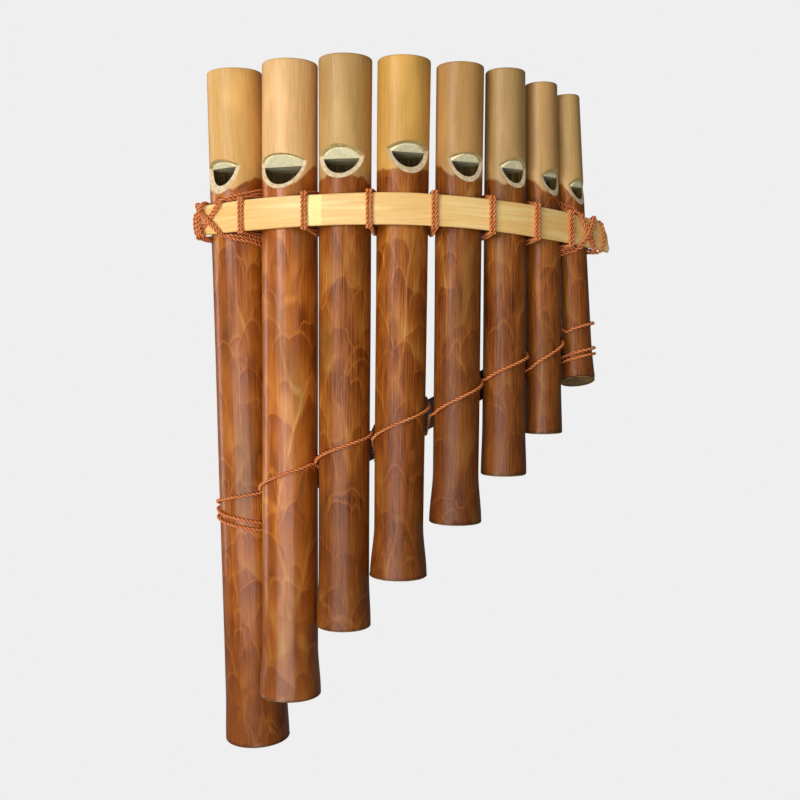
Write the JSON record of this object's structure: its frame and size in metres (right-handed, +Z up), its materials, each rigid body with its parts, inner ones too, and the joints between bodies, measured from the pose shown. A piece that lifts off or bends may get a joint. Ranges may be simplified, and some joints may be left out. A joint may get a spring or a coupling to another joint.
{
  "type": "pan flute",
  "caption": "Bamboo pan flute whose pipes have whistle mouths and stand on an arc from long to short, tied to split-bamboo bands with two-ply twine.",
  "frame": {"origin": "middle of the footprint, level with the foot of the longest pipe", "axes": "+Z up along the pipes, mouth ends up; the player's side, with the whistle windows, faces -Y; +X runs from the longest pipe to the shortest"},
  "size_m": [0.15, 0.0487, 0.2457],
  "materials": {
    "lacquered_bamboo": "natural tan at the mouth, glossy red-brown lacquer with a feathered pattern below",
    "block_wood": "raw, pale end grain and slant-cut faces",
    "split_bamboo": "straw-coloured split strip, satin",
    "aged_bamboo": "dark brown split strip, satin",
    "twine": "waxed two-ply twine"
  },
  "bodies": {
    "root": {"pipe_1": "lacquered_bamboo", "pipe_2": "lacquered_bamboo", "pipe_3": "lacquered_bamboo", "pipe_4": "lacquered_bamboo", "pipe_5": "lacquered_bamboo", "pipe_6": "lacquered_bamboo", "pipe_7": "lacquered_bamboo", "pipe_8": "lacquered_bamboo", "block_1": "block_wood", "block_2": "block_wood", "block_3": "block_wood", "block_4": "block_wood", "block_5": "block_wood", "block_6": "block_wood", "block_7": "block_wood", "block_8": "block_wood", "front_band": "split_bamboo", "rear_band": "split_bamboo", "slanting_strip": "aged_bamboo", "lashing_1_2": "twine", "lashing_2_3": "twine", "lashing_3_4": "twine", "lashing_4_5": "twine", "lashing_5_6": "twine", "lashing_6_7": "twine", "lashing_7_8": "twine", "end_lashing_long": "twine", "end_lashing_short": "twine", "lower_cord": "twine"}
  },
  "joints": []
}
